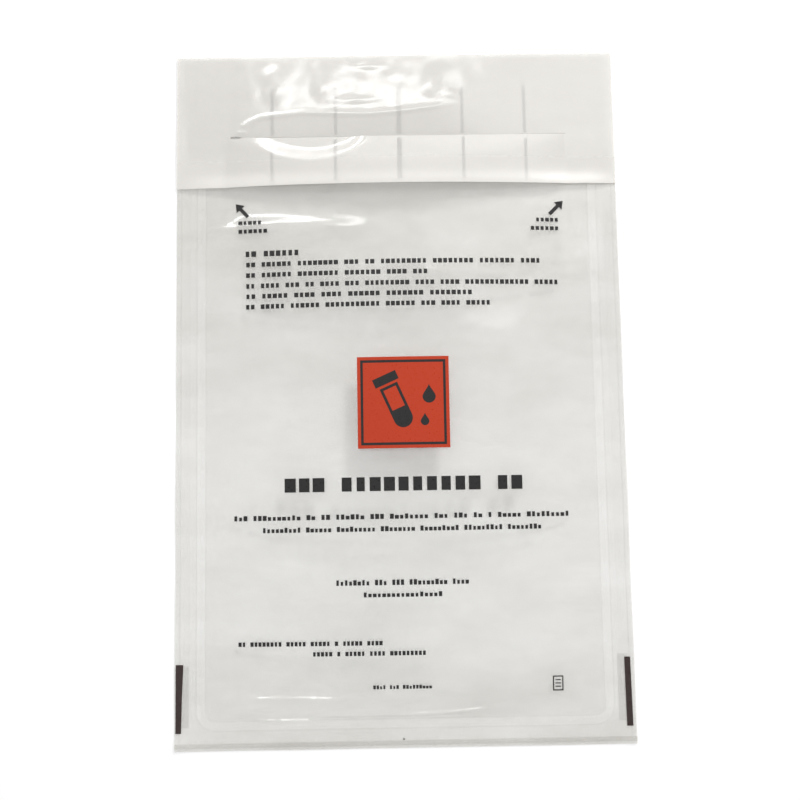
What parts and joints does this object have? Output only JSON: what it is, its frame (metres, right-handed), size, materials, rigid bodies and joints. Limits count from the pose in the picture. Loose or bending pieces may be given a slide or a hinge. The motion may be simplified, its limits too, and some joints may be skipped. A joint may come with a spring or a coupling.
{
  "type": "specimen transport bag",
  "caption": "Flat clear film pouch for a laboratory specimen, with a slot, a fold-over adhesive closure under a peel-off backing, and a rear paper pocket.",
  "frame": {"origin": "middle of the back, on the surface that the bag lies on", "axes": "+X to the right seen from the front, +Y towards the top edge with the closure, +Z out of the front"},
  "size_m": [0.18, 0.28, 0.0072],
  "materials": {
    "clear_film": "slightly milky clear film with a soft gloss",
    "adhesive": "tacky clear pressure-sensitive adhesive",
    "release_backing": "white silicone-coated release film with a soft gloss"
  },
  "bodies": {
    "pouch": {"front_film": "clear_film", "middle_film": "clear_film", "back_film": "clear_film", "adhesive_lower": "adhesive"},
    "flap": {"front_flap_film": "clear_film", "middle_flap_film": "clear_film", "adhesive_upper": "adhesive"},
    "liner_lower": {"liner_lower": "release_backing"},
    "liner_upper": {"liner_upper": "release_backing"}
  },
  "joints": [
    {"name": "flap_fold", "type": "hinge", "parent": "pouch", "child": "flap", "pos_m": [0, 0.1055, 0.00419], "axis": [1, 0, 0], "range_deg": [0, 180]},
    {"name": "backing_peel", "type": "slide", "parent": "pouch", "child": "liner_lower", "axis": [0, 0, 1], "range_m": [0, 0.06]},
    {"name": "backing_crease", "type": "hinge", "parent": "liner_lower", "child": "liner_upper", "pos_m": [0, 0.1055, 0.00419], "axis": [1, 0, 0], "range_deg": [0, 180]}
  ],
  "couplings": [
    {"joint": "backing_crease", "follows": "flap_fold", "ratio": 1}
  ]
}
